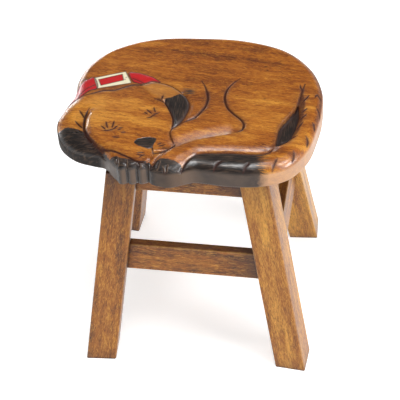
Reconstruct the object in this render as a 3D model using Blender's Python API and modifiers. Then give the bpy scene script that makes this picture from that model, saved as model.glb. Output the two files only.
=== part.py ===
"""Carved dog footstool: a carved seat board on four splayed legs tied by rails and stretchers.

Metres, +Z up, standing on the floor at z = 0 with its front towards -Y. The origin is on the floor
under the middle of the stool. Run with blender --background --python, or from the text editor.
"""
import bmesh
import bpy
from math import cos, pi, radians, sin, tan
from mathutils import Matrix, Vector

# Driving dimensions; the legs taper a little, and the boards and leg sections sit askew under the seat
STOOL_HEIGHT = 0.271
SEAT_THICKNESS = 0.0275
SEAT_EDGE_ROUND = 0.008
SEAT_UNDER_CHAMFER = 0.0015

LEG_FOOT_SECTION = 0.0314
LEG_TOP_SECTION = 0.03
LEG_EDGE_ROUND = 0.0015
LEG_TOE_IN = radians(4.7)
FRAME_SKEW = radians(-2.7)
FOOT_HALF_SPAN_X = 0.1024
FOOT_HALF_SPAN_Y = 0.0975
LEG_LEAN_X = radians(8.6)
LEG_LEAN_Y = radians(7.745)
LEG_FRAME_SHIFT_X = 0.0044

RAIL_HEIGHT = 0.0268
RAIL_THICKNESS = 0.016
STRETCHER_THICKNESS = 0.011
FRONT_STRETCHER_HEIGHT = 0.0317
SIDE_STRETCHER_HEIGHT = 0.028
FRONT_STRETCHER_MIDDLE = 0.1284
SIDE_STRETCHER_MIDDLE = 0.116
BOARD_EDGE_ROUND = 0.001

DOWEL_DIAMETER = 0.006
DOWEL_LENGTH = 0.024
FRONT_DOWEL_BELOW_SEAT = 0.0085
SIDE_DOWEL_BELOW_SEAT = 0.019

SCREW_SHANK = 0.0036
SCREW_HEAD = 0.0072
SCREW_HEAD_HEIGHT = 0.0026
SCREW_BITE_IN_SEAT = 0.0135
SCREW_HEAD_SINK = 0.013
SCREW_TIP = 0.004
SCREW_FROM_DOWEL = 0.0103

FIT_GAP = 0.0003

# Values that follow from them
UNDERSIDE = STOOL_HEIGHT - SEAT_THICKNESS
FRAME_TOP = UNDERSIDE - FIT_GAP

# How finely curves and round edges are divided
ROUND_SIDES = 16
OUTLINE_STEPS = 4
GROOVE_STEPS = 4
GROOVE_ROUND_STEPS = 2
LEAF_STEPS = 3
SEAT_EDGE_STEPS = 3
WOOD_EDGE_STEPS = 2
SHARP_ANGLE = radians(35)
FLAT_ANGLE = radians(0.5)
WELD_DISTANCE = 0.00001

# Outline of the seat on x and y, clockwise from the middle of the back
SEAT_OUTLINE = (
    (0.0, 0.1048), (0.045, 0.1035), (0.088, 0.09), (0.116, 0.063), (0.129, 0.032), (0.131, 0.004),
    (0.1275, -0.026), (0.1198, -0.0565), (0.1023, -0.081), (0.076, -0.0915), (0.046, -0.093), (0.018, -0.09),
    (-0.001, -0.094), (-0.018, -0.0985), (-0.036, -0.097), (-0.054, -0.095), (-0.068, -0.086),
    (-0.084, -0.074), (-0.108, -0.0665), (-0.124, -0.052), (-0.131, -0.032), (-0.1267, -0.011),
    (-0.1195, 0.01), (-0.1197, 0.033), (-0.111, 0.058), (-0.0868, 0.0832), (-0.049, 0.1003),
)

# Carved lines on the seat top: the radius of a round-bottomed groove, and where it runs on x and y
CARVED_LINES = {
    "collar_edge": (0.0018, (
        (-0.119, -0.001), (-0.111, 0.006), (-0.098, 0.0165), (-0.064, 0.028), (-0.049, 0.027),
        (-0.035, 0.031),
    )),
    "collar_top": (0.0018, (
        (-0.12, 0.015), (-0.11, 0.026), (-0.102, 0.031), (-0.074, 0.045), (-0.06, 0.043), (-0.044, 0.037),
        (-0.035, 0.031),
    )),
    "head_and_ear": (0.0022, (
        (-0.11, 0.005), (-0.094, 0.012), (-0.074, 0.0165), (-0.053, 0.0235), (-0.035, 0.027),
        (-0.015, 0.017), (-0.002, 0.0), (-0.003, -0.016), (-0.014, -0.039),
    )),
    "ear_inner": (0.0018, (
        (-0.036, 0.004), (-0.026, -0.002), (-0.02, -0.013), (-0.014, -0.028), (-0.014, -0.039),
    )),
    "muzzle_side": (0.0022, (
        (-0.0135, -0.037), (-0.015, -0.047), (-0.012, -0.057), (-0.0085, -0.064),
    )),
    "jaw": (0.0022, (
        (-0.099, -0.018), (-0.101, -0.038), (-0.092, -0.058), (-0.076, -0.071), (-0.052, -0.083),
        (-0.038, -0.088),
    )),
    "mouth": (0.0016, (
        (-0.031, -0.07), (-0.0275, -0.076), (-0.018, -0.073), (-0.0095, -0.0675),
    )),
    "flank": (0.0026, (
        (0.007, 0.032), (0.014, 0.016), (0.0165, 0.003), (0.012, -0.013), (0.003, -0.025),
        (-0.008, -0.033),
    )),
    "haunch": (0.0026, (
        (0.046, 0.0385), (0.036, 0.025), (0.0335, 0.006), (0.041, -0.012), (0.054, -0.027),
        (0.055, -0.037), (0.044, -0.0435), (0.016, -0.0525), (-0.0075, -0.066),
    )),
    "tail": (0.0022, (
        (0.009, -0.08), (0.018, -0.0745), (0.041, -0.0695), (0.067, -0.071), (0.088, -0.06),
    )),
    "back_hollow": (0.002, (
        (0.109, 0.035), (0.1085, 0.02), (0.1065, 0.003),
    )),
}

# Leaf-shaped hollow between the haunch and the tail
LEAF_HOLLOW = (
    (0.1065, 0.004), (0.109, -0.01), (0.1055, -0.033), (0.091, -0.058), (0.0895, -0.038), (0.096, -0.016),
)
LEAF_DEPTH = 0.004
GROOVE_AXIS_LIFT = 0.0006

# Cuts between the toes on the front edge: where they are on x and y
TOE_CUTS = ((-0.061, -0.093), (-0.053, -0.0965), (-0.044, -0.098), (-0.034, -0.099))
TOE_CUT_RADIUS = 0.0022

SIDES = {"left": -1, "right": 1}
ENDS = {"front": -1, "back": 1}

# Colours (linear), roughness and metallic value of each finish
FINISHES = {
    "seat_wood": ((0.35, 0.12, 0.027, 1.0), 0.35, 0.0),
    "frame_wood": ((0.28, 0.10, 0.03, 1.0), 0.38, 0.0),
    "dowel_wood": ((0.48, 0.30, 0.14, 1.0), 0.6, 0.0),
    "screw_steel": ((0.55, 0.54, 0.52, 1.0), 0.35, 1.0),
}


def clear_scene():
    """Start from an empty scene."""
    for obj in list(bpy.data.objects):
        bpy.data.objects.remove(obj, do_unlink=True)


def new_collection(name):
    """A collection of its own in the scene."""
    group = bpy.data.collections.new(name)
    bpy.context.scene.collection.children.link(group)
    return group


clear_scene()
PARTS = new_collection("carved_dog_footstool")
CUTTERS = new_collection("cutters")


def finish(name):
    """A Principled material for one of the finishes."""
    found = bpy.data.materials.get(name)
    if found:
        return found
    colour, roughness, metallic = FINISHES[name]
    material = bpy.data.materials.new(name)
    material.use_nodes = True
    shader = material.node_tree.nodes["Principled BSDF"]
    shader.inputs["Base Color"].default_value = colour
    shader.inputs["Roughness"].default_value = roughness
    shader.inputs["Metallic"].default_value = metallic
    return material


def place(name, mesh, matrix, material):
    """A sub-part: one named object with its own material."""
    obj = bpy.data.objects.new(name, mesh)
    obj.matrix_world = matrix
    mesh.materials.append(finish(material))
    PARTS.objects.link(obj)
    return obj


def cutter(name, mesh, matrix):
    """A body that only cuts others."""
    obj = bpy.data.objects.new(name, mesh)
    obj.matrix_world = matrix
    obj.hide_render = True
    obj.display_type = "WIRE"
    CUTTERS.objects.link(obj)
    return obj


def boolean(obj, other, operation="DIFFERENCE"):
    """Cut obj with other, or keep what they share."""
    modifier = obj.modifiers.new(operation.lower(), "BOOLEAN")
    modifier.operation = operation
    modifier.solver = "EXACT"
    modifier.object = other


def box_mesh(name, size, edge_round=0.0, top_share=1.0):
    """A box about its own middle, its top scaled if it tapers and its long edges eased if asked."""
    bm = bmesh.new()
    bmesh.ops.create_cube(bm, size=1.0)
    bmesh.ops.scale(bm, vec=size, verts=bm.verts)
    bmesh.ops.scale(bm, vec=(top_share, top_share, 1.0), verts=[v for v in bm.verts if v.co.z > 0])
    if edge_round:
        longest = max(range(3), key=lambda axis: size[axis])
        along = [e for e in bm.edges if abs((e.verts[0].co - e.verts[1].co)[longest]) > size[longest] / 2]
        bmesh.ops.bevel(bm, geom=along, offset=edge_round, segments=WOOD_EDGE_STEPS, profile=0.5,
                        affect="EDGES")
    mesh = bpy.data.meshes.new(name)
    bm.to_mesh(mesh)
    bm.free()
    return mesh


def rod_mesh(name, diameter, length):
    """A round rod along local Z about its own middle."""
    bm = bmesh.new()
    bmesh.ops.create_cone(bm, cap_ends=True, segments=ROUND_SIDES, radius1=diameter / 2, radius2=diameter / 2,
                          depth=length)
    mesh = bpy.data.meshes.new(name)
    bm.to_mesh(mesh)
    bm.free()
    mesh.shade_smooth()
    mesh.set_sharp_from_angle(angle=SHARP_ANGLE)
    return mesh


def mesh_from_curve(curve):
    """The closed mesh that a curve object describes, with its caps welded."""
    obj = bpy.data.objects.new(curve.name, curve)
    bpy.context.scene.collection.objects.link(obj)
    bpy.context.view_layer.update()
    evaluated = obj.evaluated_get(bpy.context.evaluated_depsgraph_get())
    mesh = bpy.data.meshes.new_from_object(evaluated)
    bpy.data.objects.remove(obj, do_unlink=True)
    bm = bmesh.new()
    bm.from_mesh(mesh)
    bmesh.ops.remove_doubles(bm, verts=bm.verts, dist=WELD_DISTANCE)
    bmesh.ops.dissolve_limit(bm, angle_limit=FLAT_ANGLE, verts=bm.verts, edges=bm.edges)
    bmesh.ops.recalc_face_normals(bm, faces=bm.faces)
    bm.to_mesh(mesh)
    bm.free()
    return mesh


def smooth_spline(curve, points, closed, steps):
    """A smooth spline through points on x and y."""
    spline = curve.splines.new("BEZIER")
    spline.bezier_points.add(len(points) - 1)
    for knot, (x, y) in zip(spline.bezier_points, points):
        knot.co = (x, y, 0.0)
        knot.handle_left_type = "AUTO"
        knot.handle_right_type = "AUTO"
    spline.use_cyclic_u = closed
    spline.resolution_u = steps


def plate_mesh(name, points, thickness, steps):
    """A flat plate with a smooth outline, its middle plane at local z = 0."""
    curve = bpy.data.curves.new(name, "CURVE")
    curve.dimensions = "2D"
    curve.fill_mode = "BOTH"
    curve.extrude = thickness / 2
    smooth_spline(curve, points, True, steps)
    return mesh_from_curve(curve)


def groove_mesh(name, points, radius):
    """A round bar along a smooth line, which cuts a groove."""
    curve = bpy.data.curves.new(name, "CURVE")
    curve.dimensions = "3D"
    curve.bevel_depth = radius
    curve.bevel_resolution = GROOVE_ROUND_STEPS
    curve.use_fill_caps = True
    smooth_spline(curve, points, False, GROOVE_STEPS)
    return mesh_from_curve(curve)


def leg_centre(side, end, z):
    """Middle of a leg at height z."""
    x = LEG_FRAME_SHIFT_X + side * (FOOT_HALF_SPAN_X - tan(LEG_LEAN_X) * z)
    y = end * (FOOT_HALF_SPAN_Y - tan(LEG_LEAN_Y) * z)
    return Vector((x, y, z))


def leg_section(z):
    """Width of a leg at height z."""
    return LEG_FOOT_SECTION + (LEG_TOP_SECTION - LEG_FOOT_SECTION) * z / FRAME_TOP


def leg_mesh(name, spare, gap=0.0, edge_round=0.0):
    """A tapered leg that runs past the floor and the seat by the spare length, grown by a gap all round."""
    low = leg_section(-spare) + 2 * gap
    high = leg_section(FRAME_TOP + spare) + 2 * gap
    return box_mesh(name, (low, low, FRAME_TOP + 2 * spare), edge_round, high / low)


def leg_matrix(side, end):
    """Place and lean of a leg: local Z runs up its length, local X along its front face."""
    middle = leg_centre(side, end, FRAME_TOP / 2)
    up = (leg_centre(side, end, FRAME_TOP) - leg_centre(side, end, 0.0)).normalized()
    toe = FRAME_SKEW + LEG_TOE_IN * side * end
    across = Vector((cos(toe), sin(toe), 0.0))
    across = (across - up * across.dot(up)).normalized()
    deep = up.cross(across)
    turn = Matrix((across, deep, up)).transposed().to_4x4()
    return Matrix.Translation(middle) @ turn


def skewed(offset):
    """An offset on x and y, turned with the boards under the seat."""
    return Matrix.Rotation(FRAME_SKEW, 3, "Z") @ offset


def board_lean(axis, direction):
    """Turn and lean of a rail or stretcher, in line with the legs that it joins."""
    turn = Matrix.Rotation(FRAME_SKEW, 4, "Z")
    if axis == "X":
        return turn @ Matrix.Rotation(direction * LEG_LEAN_Y, 4, "X")
    return turn @ Matrix.Rotation(-direction * LEG_LEAN_X, 4, "Y")


def along_axis(axis):
    """Turns local Z along the boards of the given axis."""
    turn = Matrix.Rotation(FRAME_SKEW, 4, "Z")
    if axis == "X":
        return turn @ Matrix.Rotation(pi / 2, 4, "Y")
    return turn @ Matrix.Rotation(pi / 2, 4, "X")


def build_seat():
    """Seat board: the outline plate with its upper edge rounded, then the carving cut into it."""
    mesh = plate_mesh("seat", SEAT_OUTLINE, SEAT_THICKNESS, OUTLINE_STEPS)
    bm = bmesh.new()
    bm.from_mesh(mesh)
    weights = bm.edges.layers.float.new("bevel_weight_edge")
    for edge in bm.edges:
        heights = [v.co.z for v in edge.verts]
        if min(heights) > 0:
            edge[weights] = 1.0
        elif max(heights) < 0:
            edge[weights] = SEAT_UNDER_CHAMFER / SEAT_EDGE_ROUND
    bm.to_mesh(mesh)
    bm.free()
    middle = Matrix.Translation((0, 0, UNDERSIDE + SEAT_THICKNESS / 2))
    seat = place("seat_board", mesh, middle, "seat_wood")
    rounding = seat.modifiers.new("edges", "BEVEL")
    rounding.limit_method = "WEIGHT"
    rounding.width = SEAT_EDGE_ROUND
    rounding.segments = SEAT_EDGE_STEPS
    rounding.use_clamp_overlap = False
    top = Matrix.Translation((0, 0, STOOL_HEIGHT))
    groove_axis = Matrix.Translation((0, 0, STOOL_HEIGHT + GROOVE_AXIS_LIFT))
    for name, (radius, points) in CARVED_LINES.items():
        groove = groove_mesh(name, points, radius)
        boolean(seat, cutter("cut_" + name, groove, groove_axis))
    leaf = plate_mesh("leaf", LEAF_HOLLOW, 2 * LEAF_DEPTH, LEAF_STEPS)
    boolean(seat, cutter("cut_leaf", leaf, top))
    for number, (x, y) in enumerate(TOE_CUTS):
        mesh = rod_mesh("toe", 2 * TOE_CUT_RADIUS, 2 * SEAT_THICKNESS)
        place_of_cut = Matrix.Translation((x, y, STOOL_HEIGHT))
        boolean(seat, cutter("cut_toe_%d" % (number + 1), mesh, place_of_cut))
    return seat


def build_legs():
    """Four square legs, leaned out both ways and cut level at the floor and under the seat."""
    legs = {}
    leg_spaces = {}
    span = 2 * (FOOT_HALF_SPAN_X + FOOT_HALF_SPAN_Y)
    slab = cutter("cut_level", box_mesh("level", (span, span, FRAME_TOP)),
                  Matrix.Translation((LEG_FRAME_SHIFT_X, 0, FRAME_TOP / 2)))
    spare = 2 * LEG_FOOT_SECTION
    for end_name, end in ENDS.items():
        for side_name, side in SIDES.items():
            name = "leg_%s_%s" % (end_name, side_name)
            matrix = leg_matrix(side, end)
            leg = place(name, leg_mesh(name, spare, 0.0, LEG_EDGE_ROUND), matrix, "frame_wood")
            boolean(leg, slab, "INTERSECT")
            space = cutter("space_" + name, leg_mesh("space_" + name, spare, FIT_GAP), matrix)
            legs[side, end] = leg
            leg_spaces[side, end] = space
    return legs, leg_spaces, slab


def build_dowel(name, centre, axis, members):
    """A wooden dowel across a joint, with its hole in each member."""
    matrix = Matrix.Translation(centre) @ along_axis(axis)
    place(name, rod_mesh(name, DOWEL_DIAMETER, DOWEL_LENGTH), matrix, "dowel_wood")
    hole = rod_mesh("hole_" + name, DOWEL_DIAMETER + 2 * FIT_GAP, DOWEL_LENGTH + 2 * FIT_GAP)
    hole_cutter = cutter("hole_" + name, hole, matrix)
    for member in members:
        boolean(member, hole_cutter)


def build_board(name, axis, direction, size, middle_z, dowel_z, legs, leg_spaces):
    """A rail or stretcher between two legs, with a dowel at each end."""
    thickness, height = size
    if axis == "X":
        ends = [(side_name, (side, direction)) for side_name, side in SIDES.items()]
    else:
        ends = [(end_name, (direction, end)) for end_name, end in ENDS.items()]
    centres = [leg_centre(side, end, middle_z) for _, (side, end) in ends]
    length = (centres[1] - centres[0]).length
    box = (length, thickness, height) if axis == "X" else (thickness, length, height)
    matrix = Matrix.Translation((centres[0] + centres[1]) / 2) @ board_lean(axis, direction)
    board = place(name, box_mesh(name, box, BOARD_EDGE_ROUND), matrix, "frame_wood")
    for _, corner in ends:
        boolean(board, leg_spaces[corner])
    dowel_ends = [leg_centre(side, end, dowel_z) for _, (side, end) in ends]
    dowel_middle = (dowel_ends[0] + dowel_ends[1]) / 2
    for (end_name, corner), at in zip(ends, dowel_ends):
        arm = at - dowel_middle
        arm = arm - arm.normalized() * leg_section(dowel_z) / 2
        build_dowel("dowel_%s_%s_end" % (name, end_name), dowel_middle + skewed(arm), axis,
                    (board, legs[corner]))
    return board


def build_frame(legs, leg_spaces, slab):
    """Upper rails under the seat and stretchers at half height, on all four sides."""
    rails = {}
    rail_middle = FRAME_TOP - RAIL_HEIGHT / 2
    rail_size = (RAIL_THICKNESS, RAIL_HEIGHT + RAIL_THICKNESS * tan(max(LEG_LEAN_X, LEG_LEAN_Y)))
    rows = [(end_name, "X", end, FRONT_STRETCHER_HEIGHT, FRONT_STRETCHER_MIDDLE, FRONT_DOWEL_BELOW_SEAT)
            for end_name, end in ENDS.items()]
    rows += [(side_name, "Y", side, SIDE_STRETCHER_HEIGHT, SIDE_STRETCHER_MIDDLE, SIDE_DOWEL_BELOW_SEAT)
             for side_name, side in SIDES.items()]
    for name, axis, direction, height, middle, below_seat in rows:
        rail = build_board("upper_rail_" + name, axis, direction, rail_size, rail_middle,
                           FRAME_TOP - below_seat, legs, leg_spaces)
        boolean(rail, slab, "INTERSECT")
        rails[name] = rail
        build_board("stretcher_" + name, axis, direction, (STRETCHER_THICKNESS, height), middle, middle, legs,
                    leg_spaces)
    return rails


def screw_mesh(name, length, grow=0.0, well=0.0):
    """A countersunk screw pointing up local Z with its head's face at local z = 0.

    Grown by a gap and with a well below the head, it is the space that the screw needs.
    """
    shank = SCREW_SHANK / 2 + grow
    head = SCREW_HEAD / 2 + grow
    profile = ((0.0, -well), (head, -well), (head, SCREW_HEAD_HEIGHT / 3), (shank, SCREW_HEAD_HEIGHT + grow),
               (shank, length - SCREW_TIP), (0.0, length + grow))
    bm = bmesh.new()
    verts = [bm.verts.new((radius, 0.0, z)) for radius, z in profile]
    edges = [bm.edges.new(pair) for pair in zip(verts, verts[1:])]
    bmesh.ops.spin(bm, geom=verts + edges, cent=(0, 0, 0), axis=(0, 0, 1), angle=2 * pi, steps=ROUND_SIDES,
                   use_merge=True)
    bmesh.ops.remove_doubles(bm, verts=bm.verts, dist=WELD_DISTANCE)
    bmesh.ops.recalc_face_normals(bm, faces=bm.faces)
    mesh = bpy.data.meshes.new(name)
    bm.to_mesh(mesh)
    bm.free()
    mesh.shade_smooth()
    mesh.set_sharp_from_angle(angle=SHARP_ANGLE)
    return mesh


def build_screws(seat, rails):
    """Screws up through the rails into the seat, their heads sunk in the rails' lower edges."""
    rail_bottom = FRAME_TOP - RAIL_HEIGHT
    head_z = rail_bottom + SCREW_HEAD_SINK
    length = UNDERSIDE + SCREW_BITE_IN_SEAT - head_z
    dowel_z = FRAME_TOP - FRONT_DOWEL_BELOW_SEAT
    from_leg = leg_section(dowel_z) / 2 + DOWEL_LENGTH / 2 + SCREW_FROM_DOWEL
    places = []
    for name, end in ENDS.items():
        middle = (leg_centre(-1, end, head_z) + leg_centre(1, end, head_z)) / 2
        for side_name, side in SIDES.items():
            arm = leg_centre(side, end, dowel_z).x - side * from_leg - middle.x
            places.append((name, side_name, middle + skewed(Vector((arm, 0, 0)))))
    for name, side in SIDES.items():
        places.append((name, "middle", (leg_centre(side, -1, head_z) + leg_centre(side, 1, head_z)) / 2))
    for rail_name, spot, at in places:
        name = "seat_screw_%s_%s" % (rail_name, spot)
        matrix = Matrix.Translation(at)
        place(name, screw_mesh(name, length), matrix, "screw_steel")
        space = screw_mesh("space_" + name, length, FIT_GAP, 2 * SCREW_HEAD_SINK)
        space_cutter = cutter("space_" + name, space, matrix)
        boolean(seat, space_cutter)
        boolean(rails[rail_name], space_cutter)


SEAT = build_seat()
LEGS, LEG_SPACES, LEVEL = build_legs()
RAILS = build_frame(LEGS, LEG_SPACES, LEVEL)
build_screws(SEAT, RAILS)
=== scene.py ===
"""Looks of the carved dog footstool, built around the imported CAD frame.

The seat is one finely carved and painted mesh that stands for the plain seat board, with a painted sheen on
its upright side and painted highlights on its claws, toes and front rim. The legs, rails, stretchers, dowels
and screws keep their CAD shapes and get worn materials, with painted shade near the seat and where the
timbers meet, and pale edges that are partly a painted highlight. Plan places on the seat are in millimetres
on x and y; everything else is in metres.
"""
from math import cos, pi, radians, sin

import bpy
import numpy as np
from mathutils import Matrix, Vector


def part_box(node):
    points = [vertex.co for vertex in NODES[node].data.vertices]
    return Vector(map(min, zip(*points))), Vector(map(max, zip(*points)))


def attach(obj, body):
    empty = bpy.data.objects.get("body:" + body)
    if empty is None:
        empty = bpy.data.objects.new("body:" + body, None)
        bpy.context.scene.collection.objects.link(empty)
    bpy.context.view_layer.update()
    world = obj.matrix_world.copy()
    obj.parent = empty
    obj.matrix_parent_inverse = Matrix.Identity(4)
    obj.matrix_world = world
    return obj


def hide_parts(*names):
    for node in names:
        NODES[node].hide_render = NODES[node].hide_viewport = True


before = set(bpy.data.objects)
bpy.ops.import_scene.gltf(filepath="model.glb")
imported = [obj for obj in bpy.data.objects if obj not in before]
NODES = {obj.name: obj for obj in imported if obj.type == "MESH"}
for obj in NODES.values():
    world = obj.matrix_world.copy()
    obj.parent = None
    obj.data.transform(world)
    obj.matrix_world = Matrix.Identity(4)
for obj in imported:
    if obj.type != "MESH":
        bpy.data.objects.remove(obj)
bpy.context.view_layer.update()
SEAT_LOW, SEAT_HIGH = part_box("seat_board")
MM = 0.001

# Rounding of the seat's upper edge by direction: degrees from the right, inset and depth in millimetres, and
# how round it is (2 is an ellipse, less is more like a chamfer)
EDGE_SHAPE = (
    (-180, 15, 9.5, 1.5), (-168, 15, 10.5, 1.5), (-160, 15.5, 14.5, 1.8), (-153, 16, 18, 2),
    (-143, 14, 17, 2), (-132, 9, 12, 2), (-118, 7, 9, 2), (-97, 9, 10, 2), (-80, 13, 12, 2),
    (-40, 13, 12, 1.8), (-10, 9, 10, 2), (60, 7, 8, 2), (100, 5, 6, 2), (140, 5, 6, 2), (158, 9, 8, 1.8),
)
UNDER_CHAMFER = 1.5

# How finely the seat is divided
GRID_CELLS = 400
EDGE_RINGS = 14
SIDE_RINGS = 12

# Outline of the seat, clockwise from the middle of the back
SEAT_OUTLINE = (
    (0, 104.8), (45, 103.5), (88, 90), (116, 63), (129, 32), (131, 4), (127.5, -26), (119.8, -56.5),
    (102.3, -81), (76, -91.5), (46, -93), (18, -90), (8.5, -91), (-1, -95), (-11, -98.5), (-23, -97),
    (-34, -94.5), (-46, -95.5), (-56, -96), (-61, -95), (-64, -91), (-70, -83.5), (-75.5, -77),
    (-80, -74.5), (-90, -72.3), (-108, -66.5), (-124, -52), (-131, -32), (-126.7, -11), (-119.5, 10),
    (-119.7, 33), (-111, 58), (-86.8, 83.2), (-49, 100.3),
)

# Valleys between the toes of the left paw, on x, and how deep they are
TOE_VALLEYS = (-62, -53, -43.5, -33)
TOE_DEPTH = 3.4

# Lighter worn places on the upright front rim, partly a painted sheen: middle on x, reach and strength
RIM_RUB_AND_SHEEN = ((2, 14, 0.85), (40, 14, 0.25), (-68, 4, 0.4))

# A carved line's patina: the share that spreads beside it, how wide that is against the line, and how thin
# the line gets at a tapered end
HALO = 0.28
HALO_WIDTH = 3.5
THIN_END = 0.35

# The face rises like a shallow dome above the top, which lies lower than the board's highest places
TOP_DROP = 0.6
FACE_MIDDLE = (-60, -28)
FACE_RADIUS = 52
FACE_RISE = 1.2

# Edge lines of the carved forms
HEAD_TOP = (
    (-113, 2), (-109.5, 3.5), (-101, 7.5), (-93, 11.5), (-88.5, 12.8), (-79.5, 13.2), (-73, 16.5),
    (-67, 20.2), (-60, 23), (-51.5, 23),
)
EAR_UPPER = ((-51.5, 23), (-44.5, 26.5), (-34.5, 27), (-24, 23.5), (-15, 17), (-5.5, 7.5))
EAR_OUTER = ((-10, 11.5), (-5.5, 7.5), (-1.5, -1), (-0.5, -8), (-2.5, -19), (-7, -31), (-14, -40))
EAR_INNER = ((-26, -2), (-20.5, -12.5), (-16, -22.5), (-14, -30), (-14, -40))
EAR_FOLD = ((-37, 3), (-31, 0.5), (-25.5, -3))
MUZZLE_SIDE = ((-14, -40), (-15, -46.5), (-13, -53.5), (-9.5, -61), (-8.5, -64))
MOUTH_RIGHT = ((-28, -75.5), (-19.5, -73.5), (-12.5, -67.5), (-8.5, -61.5))
MOUTH_DOWN = ((-29.5, -69.5), (-28, -75.5))
LIP_LEFT = ((-28, -75.5), (-28, -80), (-30, -86), (-34, -89.5))
JAW = (
    (-100.5, -41), (-99, -46.5), (-96, -52.5), (-92, -58.5), (-84, -66.5), (-76.5, -71.5), (-68, -74.5),
    (-59.5, -78.5), (-51, -83), (-44, -87), (-36.5, -89.5),
)
EAR_STEP = (
    (-99.5, -16), (-101, -20), (-102.3, -26), (-102.3, -34), (-100.6, -42.5), (-96.5, -52), (-90.5, -60),
)
FLANK = (
    (7.5, 32.5), (12, 23.5), (15.5, 12.5), (16.5, 3.5), (15, -6), (11, -15), (7, -22), (2.5, -26),
    (-7, -32.5),
)
HAUNCH = (
    (46, 38.5), (40.5, 32.5), (35, 23), (33, 12), (34.5, 1.5), (38, -7.5), (44, -15), (51.5, -22.5),
    (55.5, -29), (56, -35),
)
FORELEG_EDGE = (
    (56, -33), (55, -38.5), (50.5, -41.5), (43.5, -43.5), (29.5, -48), (15.5, -52.5), (6, -57),
    (-1.5, -61.5), (-7.5, -66.5),
)
TAIL_TOP = (
    (0.5, -96), (2.5, -88), (7.5, -79.5), (14.5, -73), (23, -71), (36.5, -70), (48.5, -69.5), (62, -69.8),
    (73, -69.5),
)
LEG_EDGE = TAIL_TOP + ((82.5, -67.5), (90, -61))
PAW_EDGE = ((-28.5, -93), (-22.5, -80), (-16.5, -72.5), (-12.5, -67.5), (-8.5, -61.5))
TAIL_HOLLOW = ((111.5, 33), (109.5, 23.5), (108, 12), (106.5, 1))
TAIL_FORK = ((107, 32.5), (108, 28), (109.5, 23.5))

# Closed outlines of the forms that lie at another level, or that are painted
EAR_LEFT = (
    (-96, -4), (-98.5, -18), (-100.5, -27.5), (-101, -38), (-99, -46.5), (-95, -54), (-88, -62.5),
    (-80, -69), (-75, -76), (-70, -92), (-90, -115), (-150, -100), (-150, -4),
)
PAW_LEFT = (
    (-90, -61.5), (-76.5, -71.5), (-68, -74.5), (-51, -83), (-36.5, -89.5), (-30, -93), (-30, -112),
    (-62, -112), (-67, -88), (-76, -77),
)
CHIN = MOUTH_RIGHT + ((-16.5, -72.5), (-22.5, -80), (-29, -94), (-36, -91), (-29.5, -85))
RIGHT_EAR = (
    (-53, 24), (-44.5, 27), (-34.5, 27), (-24, 23.5), (-15, 17), *EAR_OUTER[1:], *EAR_INNER[3::-1],
    (-33, 2.5), (-40, 7.5), (-48, 16),
)
EAR_TIP = ((-26, 0.5), (-19.5, 5), (-10, 11), *EAR_OUTER[1:], *EAR_INNER[3:0:-1])
EAR_GLINT = ((-103, -16), (-92, -16), (-92, -40), (-86, -58), (-96, -60), (-104, -40))
EAR_LEFT_BLACK = (
    (-150, -42), (-127, -40.5), (-121, -38), (-110, -40.5), (-100, -45.5), (-96, -53), (-91, -60),
    (-84, -67), (-76, -73.5), (-72, -80), (-71, -92), (-80, -115), (-150, -100),
)
PAW_LEFT_BLACK = (
    (-74, -84), (-63.5, -82), (-57, -84.5), (-42, -87), (-33, -88), (-27.5, -89.5), (-26, -98), (-28, -115),
    (-90, -115), (-82, -92),
)
PAW_RIGHT_BLACK = ((-28.5, -93), (-22, -84), (-15.5, -83), (-2, -86.5), (3, -93), (3, -115), (-30, -115))
TAIL = (
    *TAIL_TOP, (82.5, -67.5), (91, -61.5), (100, -49), (105.5, -35), (108.5, -19.5), (109, -9), (108, 0),
    (108, 12), (109.5, 23.5), (112, 36), (150, 45), (160, -60), (120, -120), (0, -120),
)
TAIL_BLACK = TAIL_TOP + ((86, -68.5), (90, -90), (86, -120), (0, -120))
RIM_BLACK = ((-36, -92), (-22, -94), (-8, -92.5), (1, -90), (6, -88), (14, -88), (16, -120), (-36, -120))
LEAF_BAND = (
    (109.5, 27), (111.5, 18), (114, 7), (114, -6.5), (113.2, -18.5), (110.5, -33.4), (103.5, -48),
    (96, -55.5), (100, -49), (105.5, -35), (108.5, -19.5), (109, -9), (107.5, 2), (108, 14),
)
LEAF_SHADE = ((108, 22), (108.5, 8), (109.5, -9), (109, -19.5), (106, -35), (100.5, -48.5), (91, -60))
LEAF = (
    (107, 2), (103, -8), (99.5, -15), (93, -27.5), (90.5, -36), (89.5, -48), (90, -59.5), (100, -49),
    (105.5, -35), (108.5, -19.5), (109, -9),
)
NOSE = (
    (-48, -64), (-45.5, -59), (-41, -57), (-35.5, -55.5), (-28.5, -56), (-27, -58), (-27.5, -62.5),
    (-29, -66), (-29.5, -70), (-33.5, -71), (-39.5, -69.5), (-44.5, -67),
)
COLLAR_LEFT = (
    (-135, 10), (-124, 12), (-118, 16), (-116, 21.5), (-112.5, 25.8), (-109, 28.4), (-102.5, 31.6),
    (-97, 16.5), (-104, 11.5), (-107.5, 7.7), (-110.5, 4.4), (-114, 0.5), (-122, -6), (-135, -8),
)
COLLAR_LEFT_LINE = ((-122, -5), (-116.5, 0), (-113.5, 6), (-109, 12), (-105, 16), (-100, 20))
COLLAR_RIGHT = (
    (-68.3, 40.8), (-60.5, 41.8), (-53, 39.8), (-44, 36.3), (-38, 31.8), (-34.5, 28), (-40, 29.2),
    (-44.5, 28.4), (-50, 25.2), (-53.5, 24.6), (-58.5, 26), (-62.6, 28.4),
)
COLLAR_RIGHT_LINE = ((-63, 32.3), (-57.5, 29.4), (-50.5, 25.4))
BUCKLE_OUTER = ((-102.8, 31.6), (-72, 43.4), (-63.6, 26), (-97, 15.5))
BUCKLE_INNER = ((-98, 29.4), (-74.8, 39.3), (-72, 29.7), (-94, 20.2))
BUCKLE_MARKS = ((-70, 34.4), (-70.9, 30.9))
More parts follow.
